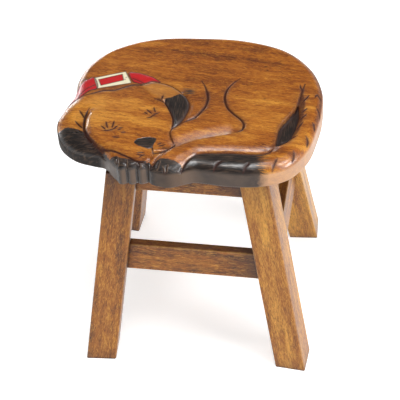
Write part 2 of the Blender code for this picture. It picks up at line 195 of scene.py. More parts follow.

# Where the wood is more golden or browner: middle, widths and strength. The golden zones at the chin, on the
# head's left side and at the end of the tail are painted sheen.
TONE_AND_SHEEN_ZONES = (
    (70, -15, 30, 30, 0.15), (20, 5, 22, 30, -0.15), (0, 75, 110, 25, -0.12), (75, -80, 45, 12, 0.2),
    (-112, -20, 12, 18, 0.25), (114, -54, 11, 20, 0.18), (-46, -72, 22, 9, 0.2), (-95, -2, 16, 11, 0.2),
    (78, -60, 14, 8, -0.3), (-92, -32, 15, 20, 0.22), (-36, -2, 10, 8, -0.25),
)

# Knots in the seat wood: place, length, width and strength
KNOTS = (
    (70.5, 58.8, 2.0, 1.2, 0.8), (77, 59.5, 1.2, 0.8, 0.5), (72.6, 53, 1.4, 1.0, 0.8),
    (20.4, 66.4, 2.2, 1.4, 0.6), (73.3, 9, 1.6, 1.4, 0.6), (62.4, 20.9, 2.0, 1.0, 0.45),
    (17, -63.8, 5.0, 2.0, 0.5), (-40, 77, 3.0, 1.4, 0.5), (84, -20, 2.0, 1.0, 0.4),
)

# Short cuts: hair on the tail and the left ear, then thin cuts: lashes, whiskers and claws
HAIR_CUTS = (
    ((32, -91.5), (35, -85), (41, -81)), ((60.5, -92), (63, -86.5), (66.5, -82)),
    ((88, -87.5), (90, -80.5), (92.5, -74)), ((106, -75.5), (107.5, -69), (107, -62.5)),
    ((119, -53.5), (119.5, -46.5), (117.5, -41)), ((125, -31), (124.5, -26), (123, -22)),
    ((129.5, -14), (128.5, -7), (125, 0)), ((123, 12.5), (125, 18), (129.5, 11)), ((117, 16.2), (111, 5.6)),
    ((116.3, -2.9), (111, -8.9)), ((116.4, -10.7), (109, -20.4)), ((113.8, -21.6), (107, -33.3)),
    ((109.4, -40.8), (101.5, -46.2), (92, -50)), ((-110, -17.5), (-106.5, -22), (-103, -27)),
    ((-112.6, -29.7), (-107.6, -35), (-102.5, -40)), ((-28.5, 7), (-29.5, 1)),
)
LOBE_HAIR = (
    ((-120, -44), (-112, -50)), ((-114, -42), (-106, -48)), ((-108, -42.5), (-101, -48)),
    ((-118, -50), (-110, -56)), ((-110, -50), (-102, -56)), ((-103, -50), (-97, -55)),
    ((-112, -58), (-104, -62)), ((-105, -58), (-97, -63)), ((-98, -57), (-92, -62)),
    ((-100, -64), (-92, -68)), ((-93, -64), (-86, -69)), ((-117, -46), (-109, -53)),
)
FACE_CUTS = (
    ((-41, -27), (-37, -26.5), (-33, -21.5), (-28.5, -18.5)), ((-44, -19), (-40, -22.5)),
    ((-42, -15), (-36, -21.5)), ((-35.5, -11), (-33, -19)),
    ((-82, -49), (-76, -48), (-70.5, -45.5), (-68.5, -42)), ((-84, -41.5), (-78.5, -47)),
    ((-80, -35.5), (-77, -45)), ((-72, -34), (-72.5, -44.5)), ((-67.5, -41), (-70, -44)),
)
WHISKERS = (
    ((-66, -43.5), (-61.5, -44)), ((-67, -47.5), (-63.5, -45.5)), ((-63, -50.5), (-58, -49.5)),
    ((-70.5, -57), (-63, -58)), ((-25, -65), (-21, -62)), ((-24, -68), (-17.5, -63.5)),
    ((-20.5, -70), (-14.5, -67)), ((-44, -78), (-35.5, -76.5)), ((-43, -80), (-36, -81)),
    ((-40.5, -84), (-35, -79)),
)
CLAWS = (
    ((-53, -85.5), (-51.5, -94.5)), ((-42, -87), (-38.5, -92.5)), ((-62, -84), (-60, -92)),
    ((-20.5, -87), (-22, -94)), ((-16.5, -94), (-14, -100)), ((-12.5, -91), (-13.5, -99)),
)


def smooth(points, closed=False, steps=8):
    """A smooth line through the given points."""
    p = np.array(points, float)
    if closed:
        p = np.vstack([p[-1:], p, p[:2]])
    else:
        p = np.vstack([2 * p[:1] - p[1:2], p, 2 * p[-1:] - p[-2:-1]])
    t = np.linspace(0, 1, steps, endpoint=False)[:, None]
    rows = []
    for a, b, c, d in zip(p, p[1:], p[2:], p[3:]):
        rows.append(b + 0.5 * t * (c - a + t * (2 * a - 5 * b + 4 * c - d + t * (3 * (b - c) + d - a))))
    if not closed:
        rows.append(p[-2:-1])
    return np.vstack(rows)


def ease(value):
    """0 to 1 with a smooth start and end."""
    t = np.clip(value, 0, 1)
    return t * t * (3 - 2 * t)


def measure(line, places, reach):
    """Distance of places to a line, the side they are on (1 is its left) and how far along it they are."""
    away = np.full(len(places), float(reach))
    side = np.ones(len(places))
    along = np.zeros(len(places))
    close = ((places > line.min(0) - reach) & (places < line.max(0) + reach)).all(1)
    picked = np.flatnonzero(close)
    p = places[picked]
    starts = np.concatenate([[0], np.cumsum(np.hypot(*np.diff(line, axis=0).T))])
    for a, b, start in zip(line, line[1:], starts):
        run = b - a
        length = np.hypot(*run)
        t = np.clip((p - a) @ run / length ** 2, 0, 1)
        gap = p - a - t[:, None] * run
        distance = np.hypot(gap[:, 0], gap[:, 1])
        better = distance < away[picked]
        chosen = picked[better]
        away[chosen] = distance[better]
        side[chosen] = np.sign(run[0] * gap[better, 1] - run[1] * gap[better, 0])
        along[chosen] = (start + t[better] * length) / starts[-1]
    return away, side, along


def inside(line, places):
    """Which places are inside a closed line."""
    odd = np.zeros(len(places), bool)
    x, y = places.T
    for a, b in zip(line, np.roll(line, -1, axis=0)):
        if a[1] != b[1]:
            crosses = (a[1] > y) != (b[1] > y)
            odd ^= crosses & (x < a[0] + (y - a[1]) / (b[1] - a[1]) * (b[0] - a[0]))
    return odd


class Carving:
    """Heights and paints of places on the seat, built up form by form; side is 1 on the upright side."""

    PAINTS = ("black", "red", "cream", "dark", "pale", "gold", "upright", "side", "matte", "gloss", "rubbed")

    def __init__(self, places, side):
        self.places = places
        self.x, self.y = places.T
        self.side = side
        self.height = np.zeros(len(places))
        self.cut = np.zeros(len(places))
        self.paint = {name: np.zeros(len(places)) for name in self.PAINTS}

    def add(self, name, amount):
        """Paints each place with at least the given amount."""
        self.paint[name] = np.maximum(self.paint[name], amount)

    def depth_in(self, points, reach, straight=False):
        """How far places are inside a closed form, negative outside, up to reach."""
        line = np.array(points, float) if straight else smooth(points, True)
        away = measure(np.vstack([line, line[:1]]), self.places, reach)[0]
        return np.where(inside(line, self.places), away, -away)

    def level(self, points, rise, wall, slope=None):
        """Raises or lowers a closed form, with a wall of the given width; slope scales the rise by place."""
        share = ease(0.5 + self.depth_in(points, 2 * wall) / (2 * wall))
        self.height += rise * share * (1 if slope is None else slope)

    def swell(self, points, rise, reach):
        """Raises the middle of a closed form like a cushion."""
        share = np.clip(self.depth_in(points, reach) / reach, 0, 1)
        self.height += rise * np.sqrt(share * (2 - share))

    def stroke(self, points, depth, left, right, dark=0.95, dark_width=1.0, taper=(0.0, 0.0), shift=0.0,
               power=(2.0, 2.0)):
        """A carved line: its depth, how far and how roundly it rolls off to each side, patina and ends."""
        reach = max(left, right, 2 * HALO_WIDTH * dark_width) + 1
        away, side, along = measure(smooth(points), self.places, reach)
        share = np.clip(1 - away / np.where(side > 0, left, right), 0, 1) ** np.where(side > 0, *power)
        fade = np.ones(len(away))
        if taper[0]:
            fade *= ease(along / taper[0])
        if taper[1]:
            fade *= ease((1 - along) / taper[1])
        self.cut = np.maximum(self.cut, depth * share * fade)
        width = dark_width * (THIN_END + (1 - THIN_END) * fade)
        stain = dark * np.exp(-np.abs((away * side - shift) / width) ** 3)
        halo = HALO * dark * fade * np.exp(-(away / (HALO_WIDTH * dark_width)) ** 2)
        self.add("dark", np.maximum(stain, halo))

    def coat(self, name, points, amount=1.0, soft=0.5, straight=False):
        """Paints a closed form."""
        share = ease(0.5 + self.depth_in(points, 2 * soft, straight) / (2 * soft))
        self.add(name, amount * share)

    def spot(self, x, y, length, width, dark):
        """A dark oval mark."""
        away = ((self.x - x) / length) ** 2 + ((self.y - y) / width) ** 2
        self.add("dark", dark * np.exp(-away))

    def outline(self, points, dark, width, straight=False):
        """A dark line round a painted form."""
        away = np.abs(self.depth_in(points, 4 * width, straight))
        self.add("dark", dark * np.exp(-(away / width) ** 2))

    def heights(self):
        """Heights with the cuts taken away."""
        return self.height - self.cut


def face_dome(x, y):
    """1 at the middle of the face, down to 0 at its rim."""
    middle_x, middle_y = FACE_MIDDLE
    return np.clip(1 - ((x - middle_x) / FACE_RADIUS) ** 2 - ((y - middle_y) / FACE_RADIUS) ** 2, 0, 1)


def raise_forms(c):
    """Levels of the forms."""
    c.height -= TOP_DROP
    c.height += FACE_RISE * face_dome(c.x, c.y)
    lowered = ease((-8 - c.y) / 30)
    crisp = ease((-13 - c.y) / 8)
    c.level(EAR_LEFT, -6.0, 8.0, lowered * (1 - crisp))
    c.level(EAR_LEFT, -6.0, 1.0, lowered * crisp)
    c.level(PAW_LEFT, 2.2, 1.2)
    c.level(PAW_LEFT, -3.6, 1.2, ease((-66 - c.y) / 8))
    c.level(CHIN, -2.4, 1.0)
    c.level(TAIL, -2.6, 2.0, ease((10 - c.y) / 60))
    c.level(LEAF, -6.5, 1.2)
    c.swell(RIGHT_EAR, 1.1, 4.0)
    c.swell(NOSE, 0.5, 4.0)
    c.swell(COLLAR_LEFT, 0.8, 5.0)
    c.swell(COLLAR_RIGHT, 0.8, 5.0)
    toes = ease((12 - c.x) / 12) * ease((c.x + 30) / 2) * ease((-74 - c.y) / 18)
    c.height -= 2.6 * toes


def cut_forms(c):
    """Cuts between the forms, then the fine cuts on them."""
    c.stroke(HEAD_TOP, 0.8, 1.4, 2.0, dark=1.0, dark_width=1.2, taper=(0.3, 0.0))
    c.stroke(EAR_UPPER, 1.3, 1.6, 2.4, dark=0.8)
    c.stroke(EAR_OUTER, 2.2, 5.0, 3.0, dark=0.75, dark_width=1.2, power=(1.6, 2.0))
    c.stroke(EAR_INNER, 2.2, 4.2, 1.6, power=(1.2, 2.0))
    c.stroke(EAR_FOLD, 1.2, 1.4, 1.4, taper=(0.4, 0.0))
    c.stroke(MUZZLE_SIDE, 2.4, 2.2, 4.5, dark=0.85)
    c.stroke(MOUTH_RIGHT, 1.6, 4.0, 1.2, dark_width=0.9)
    c.stroke(MOUTH_DOWN, 1.0, 1.2, 1.2, dark_width=0.9)
    c.stroke(LIP_LEFT, 1.6, 1.2, 4.0, dark=0.4)
    c.stroke(JAW, 2.4, 7.0, 1.4, dark=1.0, dark_width=1.7, taper=(0.1, 0.0), power=(1.6, 2.0))
    c.stroke(EAR_STEP, 3.4, 6.0, 1.4, dark=1.0, dark_width=1.3, taper=(0.15, 0.3), shift=-0.9,
             power=(1.12, 2.0))
    c.stroke(EAR_STEP[1:6], 4.4, 5.6, 1.4, dark=0.0, taper=(0.35, 0.4), power=(1.12, 2.0))
    c.stroke(FLANK, 2.4, 3.2, 2.4, dark_width=1.8, taper=(0.3, 0.25), shift=0.2)
    c.stroke(HAUNCH, 2.4, 3.0, 2.2, dark_width=1.6, taper=(0.3, 0.0), shift=0.2)
    c.stroke(FORELEG_EDGE, 4.8, 1.8, 17.0, dark=0.0, taper=(0.3, 0.0), power=(2.0, 1.7))
    c.stroke(FORELEG_EDGE, 2.2, 1.8, 2.2, dark=1.0, dark_width=1.5)
    c.stroke(LEG_EDGE, 3.4, 10.0, 2.5, dark=0.8, taper=(0.0, 0.1), power=(1.8, 2.0))
    c.stroke(PAW_EDGE, 2.4, 2.0, 4.2, dark=0.6, dark_width=0.8, shift=0.6, power=(2.0, 1.2))
    c.stroke(TAIL_HOLLOW, 2.0, 3.0, 2.5, dark=0.9, dark_width=2.2, taper=(0.5, 0.0), shift=0.6)
    c.stroke(TAIL_FORK, 1.4, 1.6, 1.6, taper=(0.5, 0.0))
    c.stroke(LEAF_SHADE, 1.8, 8.0, 3.0, dark=0.4, dark_width=2.0, taper=(0.15, 0.2), shift=1.5)
    c.coat("dark", LEAF_BAND, 0.8, soft=1.2)
    c.coat("matte", LEAF_BAND, 0.9, soft=2.0)
    c.coat("matte", PAW_RIGHT_BLACK, 0.75, soft=2.0)
    c.coat("matte", PAW_LEFT_BLACK, 0.4, soft=2.0)
    # Painted shade: a soft dark line round the leaf, and a dark spot at its lower tip that also dulls the
    # varnish
    c.outline(LEAF, 0.5, 3.0)
    c.spot(89.5, -62, 5.0, 3.5, 0.75)
    for points in HAIR_CUTS:
        c.stroke(points, 1.7, 1.6, 1.2, dark=1.0, dark_width=1.25, taper=(0.3, 0.3))
    for points in FACE_CUTS:
        c.stroke(points, 0.5, 1.2, 1.2, dark=1.0, dark_width=1.15, taper=(0.25, 0.25))
    for points in WHISKERS:
        c.stroke(points, 0.5, 1.0, 1.0, dark=1.0, dark_width=0.9, taper=(0.3, 0.3))
    for points in CLAWS:
        c.stroke(points, 1.8, 1.4, 2.0, dark=0.4, dark_width=0.8, taper=(0.3, 0.2))
        # Painted highlight: worn brown beside each claw, off the upright side
        away, hand, _ = measure(smooth(points), c.places, 4)
        c.add("rubbed", np.exp(-((away * hand - 1.3) / 0.6) ** 2) * ease((0.6 - c.side) / 0.2))
    for points in LOBE_HAIR:
        c.stroke(points, 1.0, 1.8, 0.8, dark=0.0, taper=(0.3, 0.3))
    c.stroke(COLLAR_LEFT_LINE, 0.5, 1.0, 1.0, dark_width=0.7)
    c.stroke(COLLAR_RIGHT_LINE, 0.5, 1.0, 1.0, dark_width=0.7)


def stain_black(c):
    """Black stain, brushed out towards the end of the tail."""
    x, y, side = c.x, c.y, c.side
    for points in (EAR_TIP, EAR_LEFT_BLACK, PAW_LEFT_BLACK, PAW_RIGHT_BLACK, RIM_BLACK, LEAF, NOSE):
        c.coat("black", points, soft=0.8)
    brushed = ease((93 - x) / 28)
    tail = c.depth_in(TAIL_BLACK, 2)
    c.add("black", ease(0.5 + tail / 1.6) * brushed)
    front = ease((side - 0.4) / 0.25) * ease((-60 - y) / 4) * ease((92 - x) / 28)
    c.add("black", front)
    contour = ease((side - 0.7) / 0.2) * ease((-100 - x) / 6) * ease((-2 - y) / 8)
    c.add("black", contour)
    smudge = np.exp(-((x + 4) / 7) ** 2 - ((y - 15) / 5.5) ** 2)
    c.add("black", 0.72 * smudge)
    for points in (EAR_TIP, LEAF):
        c.coat("upright", points, soft=2.0)


def tone_wood(c):
    """Pale, golden and brown wood, with painted sheen in some golden zones, and its knots."""
    c.coat("pale", RIGHT_EAR, 0.6, soft=2.0)
    c.paint["gold"] += 0.5 + 0.12 * face_dome(c.x, c.y)
    for middle_x, middle_y, wide, deep, rise in TONE_AND_SHEEN_ZONES:
        c.paint["gold"] += rise * np.exp(-((c.x - middle_x) / wide) ** 2 - ((c.y - middle_y) / deep) ** 2)
    for knot in KNOTS:
        c.spot(*knot)


def paint_collar(c):
    """The red collar and its cream buckle."""
    for points in (COLLAR_LEFT, COLLAR_RIGHT):
        c.coat("red", points, soft=0.4)
        c.outline(points, 0.95, 0.8)
    for points in (BUCKLE_OUTER, BUCKLE_INNER):
        c.outline(points, 0.85, 0.7, True)
    ring = np.minimum(c.depth_in(BUCKLE_OUTER, 3, True), -c.depth_in(BUCKLE_INNER, 3, True))
    c.paint["cream"] = ease(0.5 + ring / 0.8)
    c.paint["dark"] *= 1 - 0.9 * ease(ring / 0.8)
    for mark in BUCKLE_MARKS:
        c.spot(*mark, 0.9, 0.7, 0.8)
    c.coat("red", BUCKLE_INNER, soft=0.4, straight=True)
    c.paint["red"] *= ease((1 - c.side) / 0.25)


def finish_edges(c):
    """The upright side and its painted sheen, where the varnish is dull or glossy, painted shade along the
    back and right edge and on the toes, and the rubbed edges with their painted highlights.
    """
    x, y, side = c.x, c.y, c.side
    lobe = ease((-76 - x) / 8) * (y < -10)
    # The pale side wash is weaker on the left ear's side, and weaker still beside the toes near x -29, a
    # painted shade there
    c.paint["side"] += side * (1 - 0.6 * lobe) * (1 - 0.5 * np.exp(-((x + 29) / 5) ** 2) * (y < -70))
    turn = np.arctan2(y, x)
    far = ease((turn + 0.35) / 0.4) * ease((2.2 - turn) / 0.5)
    c.paint["matte"] += 0.7 * far * ease((side - 0.08) / 0.25)
    c.paint["matte"] += lobe * ease((-34 - y) / 8) * ease((side - 0.5) / 0.4)
    c.paint["gloss"] += ease((np.abs(turn) - 2.2) / 0.2) * ease(side / 0.03) * ease((0.8 - side) / 0.3)
    c.coat("gloss", EAR_GLINT, soft=2.0)
    # Painted shade: a dark band on the rounded edge along the back and right, where it turns from the light
    rim = far * np.exp(-((side - 0.4) / 0.25) ** 2)
    c.add("dark", 0.75 * rim)
    c.paint["dark"] *= 1 - ease(2 * side - 1)
    c.outline(COLLAR_LEFT, 0.95 * ease((1 - side) / 0.2), 0.9)
    upright = ease((side - 0.5) / 0.4)
    # Painted light and shade on the toes: the left part of each toe keeps its black dark, the right part
    # turns lighter worn brown, as if lit from the right
    for left, right in zip(TOE_VALLEYS, TOE_VALLEYS[1:]):
        t = (x - left) / (right - left)
        toe = (t >= 0) & (t <= 1) & (y < -70)
        c.paint["side"] *= 1 - 0.85 * toe * ease(1 - t / 0.7)
        c.add("rubbed", 0.75 * toe * upright * ease((t - 0.3) / 0.5))
    # Painted sheen on the upright front rim, as lighter worn brown
    for middle, reach, amount in RIM_RUB_AND_SHEEN:
        c.add("rubbed", amount * upright * np.exp(-((x - middle) / reach) ** 2) * (y < -60))


def carve_seat(places, side):
    """The whole carving: levels first, then cuts, then paint."""
    carving = Carving(places, side)
    for step in (raise_forms, cut_forms, stain_black, tone_wood, paint_collar, finish_edges):
        step(carving)
    return carving


def seat_outline_at(angles):
    """Distance of the seat's outline from the origin at each angle."""
    line = smooth(SEAT_OUTLINE, True, 16)
    turn = np.arctan2(line[:, 1], line[:, 0])
    order = np.argsort(turn)
    return np.interp(angles, turn[order], np.hypot(*line.T)[order], period=2 * pi)


def edge_shape_at(angles):
    """Inset, depth and roundness of the rounded edge at each angle."""
    turn, *sizes = np.array(EDGE_SHAPE, float).T
    return [np.interp(angles, np.radians(turn), size, period=2 * pi) for size in sizes]


def toe_hollow(x, y):
    """How far the front edge is cut back at the left paw's toes: round toes with sharp valleys between."""
    hollow = np.zeros(len(x))
    for number, (left, right) in enumerate(zip(TOE_VALLEYS, TOE_VALLEYS[1:])):
        t = (x - left) / (right - left)
        depth = np.where(t < 0.5, 0.35, 1.0) if number == 0 else 1.0
        hollow = np.where((t >= 0) & (t <= 1), depth * (1 - np.sin(pi * np.clip(t, 0, 1))), hollow)
    hollow = np.where(x > TOE_VALLEYS[-1], np.exp((TOE_VALLEYS[-1] - x) / 3.5), hollow)
    hollow = np.where(x < TOE_VALLEYS[0], 0.35 * np.exp((x - TOE_VALLEYS[0]) / 2.0), hollow)
    return TOE_DEPTH * hollow * (y < -70)


def disc_grid(cells):
    """A square grid bent into a disc of radius 1, and the indices of its rim in order."""
    u = np.linspace(-1, 1, cells + 1)
    a, b = np.meshgrid(u, u, indexing="ij")
    disc = np.stack([a * np.sqrt(1 - b * b / 2), b * np.sqrt(1 - a * a / 2)], -1)
    index = np.arange((cells + 1) ** 2).reshape(cells + 1, cells + 1)
    rim = np.concatenate([index[0, :-1], index[:-1, -1], index[-1, :0:-1], index[:0:-1, 0]])[::-1]
    quads = np.stack([index[:-1, :-1], index[1:, :-1], index[1:, 1:], index[:-1, 1:]], -1).reshape(-1, 4)
    return disc.reshape(-1, 2), rim, quads


def build_seat(material):
    """The carved seat: a fine top, a rounded upper edge, a side with toe cuts and a flat underside."""
    disc, rim, quads = disc_grid(GRID_CELLS)
    angle = np.arctan2(disc[:, 1], disc[:, 0])
    reach = seat_outline_at(angle)
    inset, depth, roundness = edge_shape_at(angle)
    flat = disc * (reach - inset)[:, None]
    inner = flat[rim]
    depth = depth[rim]
    bend = 2 / roundness[rim]
    heading = np.stack([np.cos(angle[rim]), np.sin(angle[rim])], -1)
    outer = heading * reach[rim][:, None]
    outer = outer - heading * toe_hollow(*outer.T)[:, None]

    top = SEAT_HIGH.z / MM
    under = SEAT_LOW.z / MM
    rings = []
    drops = [np.zeros(len(flat))]
    keeps = [np.ones(len(flat))]
    sides = [np.zeros(len(flat))]
    for n in range(1, EDGE_RINGS + 1):
        phi = pi / 2 * n / EDGE_RINGS
        rings.append(inner + (outer - inner) * (sin(phi) ** bend)[:, None])
        drops.append(depth * (1 - abs(cos(phi)) ** bend))
        keeps.append(0 * depth + (cos(phi) ** 0.7 if n < EDGE_RINGS else 0))
        sides.append(0 * depth + 1 - cos(phi))
    for n in range(1, SIDE_RINGS + 1):
        rings.append(outer)
        drops.append(depth + (top - depth - under - UNDER_CHAMFER) * n / SIDE_RINGS)
        keeps.append(0 * depth)
        sides.append(0 * depth + 1)
    rings.append(outer - heading * UNDER_CHAMFER)
    drops.append(0 * depth + top - under)
    keeps.append(0 * depth)
    sides.append(0 * depth + 1)

    plan = np.vstack([flat] + rings)
    carving = carve_seat(plan, np.concatenate(sides))
    count = len(rim)
    height = top - np.concatenate(drops) + carving.heights() * np.concatenate(keeps)

    vertices = np.column_stack([plan, height]) * MM
    faces = [quads]
    last = rim
    for n in range(len(rings)):
        ring = len(flat) + n * count + np.arange(count)
        faces.append(np.stack([last, ring, np.roll(ring, -1), np.roll(last, -1)], -1))
        last = ring
    mesh = bpy.data.meshes.new("carved_seat")
    face_list = np.vstack(faces).tolist() + [last[::-1].tolist()]
    mesh.from_pydata(vertices.tolist(), [], face_list)
    mesh.update()
    for name, values in carving.paint.items():
        layer = mesh.attributes.new(name, "FLOAT", "POINT")
        layer.data.foreach_set("value", np.clip(values, 0, 1).astype(np.float32))
    mesh.shade_smooth()
    seat = bpy.data.objects.new("carved_seat", mesh)
    bpy.context.scene.collection.objects.link(seat)
    mesh.materials.append(material)
    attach(seat, "root")
    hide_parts("seat_board")


class Nodes:
    """A node tree with short calls to add nodes and join them."""

    def __init__(self, tree):
        self.tree = tree

    def add(self, kind, inputs=None, **settings):
        """A node with its settings and inputs; an input is a value or another node's output."""
        node = self.tree.nodes.new(kind)
        for name, value in settings.items():
            setattr(node, name, value)
        for key, value in (inputs or {}).items():
            socket = node.inputs[key]
            if isinstance(value, bpy.types.NodeSocket):
                self.tree.links.new(value, socket)
            else:
                socket.default_value = value
        return node

    def math(self, operation, first, second=0.0, clamp=False):
        """The result of a sum."""
        node = self.add("ShaderNodeMath", {0: first, 1: second}, operation=operation, use_clamp=clamp)
        return node.outputs[0]

    def mix(self, share, first, second):
        """A mix of two colours."""
        node = self.add("ShaderNodeMix", {0: share, 6: first, 7: second}, data_type="RGBA")
        return node.outputs[2]

    def tint(self, base, mask, amount, tone):
        """A colour that takes on another one where the mask is white."""
        return self.mix(self.math("MULTIPLY", mask, amount), base, tone)

    def ramp(self, value, stops):
        """A colour ramp: stops are (place, colour)."""
        node = self.add("ShaderNodeValToRGB", {0: value})
        elements = node.color_ramp.elements
        while len(elements) < len(stops):
            elements.new(0.5)
        for element, (place, colour) in zip(elements, stops):
            element.position = place
            element.color = colour
        return node.outputs[0]

    def noise(self, vector, scale, detail=3.0, roughness=0.5, distortion=0.0):
        """A noise value between 0 and 1."""
        node = self.add("ShaderNodeTexNoise", {
            "Vector": vector, "Scale": scale, "Detail": detail, "Roughness": roughness,
            "Distortion": distortion,
        })
        return node.outputs[0]


def colour(red, green, blue):
    """A linear colour from the values of a colour as seen on screen."""
    parts = [v / 255 for v in (red, green, blue)]
    return tuple(v / 12.92 if v <= 0.04045 else ((v + 0.055) / 1.055) ** 2.4 for v in parts) + (1.0,)


def wood_base(nodes, turn, seed, tones, grain, tone):
    """Colour, relief and patches of oiled hardwood whose grain runs along local X of the turn.

    Grain gives the weights of broad bands, gold patches, fine streaks, mottles, dark pores and light flecks.
    """
    place = nodes.add("ShaderNodeTexCoord").outputs["Object"]
    local = nodes.add("ShaderNodeMapping", {
        "Vector": place, "Location": seed, "Rotation": turn.to_euler(),
    }, vector_type="TEXTURE").outputs[0]

    def layer(along, across, detail, roughness, distortion, tilt):
        """Noise with features of the given length and width, in metres, tilted from the grain."""
        turned = nodes.add("ShaderNodeMapping", {"Vector": local, "Rotation": (0, tilt, tilt)}).outputs[0]
        scale = (1 / along, 1 / across, 1 / across)
        stretched = nodes.add("ShaderNodeMapping", {"Vector": turned, "Scale": scale}).outputs[0]
        return nodes.noise(stretched, 1.0, detail, roughness, distortion)

    *weights, pores, flecks = grain
    *layers, pore = [layer(*sizes) for sizes in GRAIN_LAYERS.values()]
    for value, weight in zip(layers, weights):
        tone = nodes.math("ADD", nodes.math("MULTIPLY", nodes.math("SUBTRACT", value, 0.5), weight), tone)
    _, patch, streak, _ = layers
    dark, middle, light = tones
    base = nodes.ramp(tone, [(0.15, dark), (0.5, middle), (0.85, light)])
    dashes = nodes.ramp(pore, [(0.32, WHITE), (0.48, BLACK)])
    base = nodes.tint(base, dashes, pores, dark)
    glints = nodes.ramp(pore, [(0.53, BLACK), (0.7, WHITE)])
    base = nodes.tint(base, glints, flecks, light)
    relief = nodes.math("SUBTRACT", nodes.math("MULTIPLY", streak, 0.5), nodes.math("MULTIPLY", dashes, 0.5))
    return base, relief, patch


def varnished(material, nodes, base, relief, rough, coat, gloss):
    """Joins a colour and relief to a varnished surface; coat is a weight or a socket."""
    shader = material.node_tree.nodes["Principled BSDF"]
    bump = nodes.add("ShaderNodeBump", {"Height": relief, "Strength": GRAIN_RELIEF, "Distance": GRAIN_DEPTH})
    links = material.node_tree.links
    links.new(base, shader.inputs["Base Color"])
    links.new(rough, shader.inputs["Roughness"])
    links.new(bump.outputs[0], shader.inputs["Normal"])
    links.new(bump.outputs[0], shader.inputs["Coat Normal"])
    if isinstance(coat, bpy.types.NodeSocket):
        links.new(coat, shader.inputs["Coat Weight"])
    else:
        shader.inputs["Coat Weight"].default_value = coat
    shader.inputs["Coat Roughness"].default_value = COAT_ROUGHNESS
    shader.inputs["Specular IOR Level"].default_value = gloss
    return material


def new_material(name):
    """An empty node material."""
    material = bpy.data.materials.new(name)
    material.use_nodes = True
    return material, Nodes(material.node_tree)


BLACK = (0, 0, 0, 1)
WHITE = (1, 1, 1, 1)

# Dark, middle and light tone of the woods
SEAT_TONES = (colour(94, 40, 8), colour(164, 90, 20), colour(214, 145, 52))
FRAME_TONES = (colour(72, 34, 8), colour(160, 94, 28), colour(222, 160, 66))
DOWEL_TONES = (colour(170, 132, 84), colour(198, 162, 110), colour(216, 184, 134))

# Layers of the grain: length and width of their features in metres, detail, roughness, distortion and tilt
GRAIN_LAYERS = {
    "bands": (0.26, 0.020, 2.0, 0.5, 0.7, 0.0),
    "patches": (0.024, 0.008, 3.0, 0.6, 0.8, 0.0),
    "streaks": (0.07, 0.0032, 4.0, 0.65, 0.3, 0.0),
    "mottles": (0.013, 0.0024, 3.0, 0.65, 1.6, radians(-9)),
    "pores": (0.010, 0.0012, 2.5, 0.55, 1.8, radians(5)),
}

# Weights of these layers and of light flecks between the pores
SEAT_GRAIN = (0.65, 0.75, 0.6, 0.7, 0.6, 0.65)
FRAME_GRAIN = (0.9, 0.55, 0.65, 0.65, 0.65, 0.65)

# Where each wood starts in the grain, and how the seat's grain is turned
SEAT_SEED = (0.31, 0.17, 0.05)
DOWEL_SEED = (0.7, 0.2, 0.4)
SEED_STEP = (0.37, 0.53, 0.29)
SEAT_GRAIN_TURN = radians(-7)

# Varnish: relief of the grain, roughness of the coat, and how glossy the wood is without it
GRAIN_RELIEF = 0.18
GRAIN_DEPTH = 0.0004
COAT_ROUGHNESS = 0.13
SEAT_GLOSS = 0.3
TIMBER_GLOSS = 0.35
TIMBER_COAT = 0.25

# Hairs of the stain's brush: their length, width and depth in metres
HAIR_LENGTH = 0.013
HAIR_WIDTH = 0.0009
HAIR_DEPTH = 0.004

# How golden a timber is, if not middling
MIDDLING_GOLD = 0.5
TIMBER_GOLD = {
    "leg_front_left": 0.46, "leg_front_right": 0.6, "leg_back_right": 0.7, "stretcher_front": 0.42,
    "upper_rail_front": 0.4,
}

# Painted shadow that fades from the right or upper end of a timber, where the seat shades the legs' tops and
# the right leg shades the ends of the rail and stretcher: its reach in metres and its strength
PAINTED_SHADOW = {
    "upper_rail_front": (0.031, 0.6), "stretcher_front": (0.031, 0.6), "leg_front_left": (0.085, 0.5),
    "leg_front_right": (0.045, 0.35),
}

# Wear, dirt and painted shade near a timber's faces: how it fades per metre, where it is full and gone on
# that scale, its strength. The pale rubbed edges are partly a painted highlight, the dust on a stretcher's
# top partly painted shade, and the soil at the ends partly painted shade where the timbers meet.
RUBBED_LEG_AND_HIGHLIGHT = (600.0, 0.3, 1.0, 0.2)
RUBBED_BOARD_AND_HIGHLIGHT = (600.0, 0.3, 1.0, 0.35)
DUST_AND_SHADE = (900.0, 0.3, 0.9, 0.5)
GRIME = (400.0, 0.1, 1.0, 0.7)
SOIL_AND_SHADE = (70.0, 0.0, 1.0, 0.35)

# Chips that make this wear uneven: their scale, and how far they shift it in metres
CHIP_SCALE = 160.0
CHIP_SHIFT = 0.004

# Least cosine of a face with its direction, most that a side face may look up, and the slice at a leg's end
FACING = 0.93
STEEPEST = 0.5
END_SLICE = 0.001

# Stains, paints and dirt; the side sheen is a painted reflection, and some worn, patina and dirt tones also
# carry painted highlight and shade
BLACK_STAIN = colour(27, 21, 19)
SIDE_STAIN_AND_SHEEN = colour(52, 38, 29)
SIDE_SHEEN = colour(214, 172, 138)
WORN_STAIN_AND_HIGHLIGHT = colour(104, 82, 65)
PATINA_AND_SHADE = colour(58, 26, 18)
WORN_EDGE_AND_HIGHLIGHT = colour(222, 172, 104)
DIRT_AND_SHADE = colour(58, 30, 14)
COLLAR_RED = colour(196, 22, 28)
SCUFFED_RED = colour(150, 14, 20)
BUCKLE_CREAM = colour(240, 230, 198)
SCUFFED_CREAM = colour(214, 196, 150)
PALE_EAR = colour(190, 132, 62)


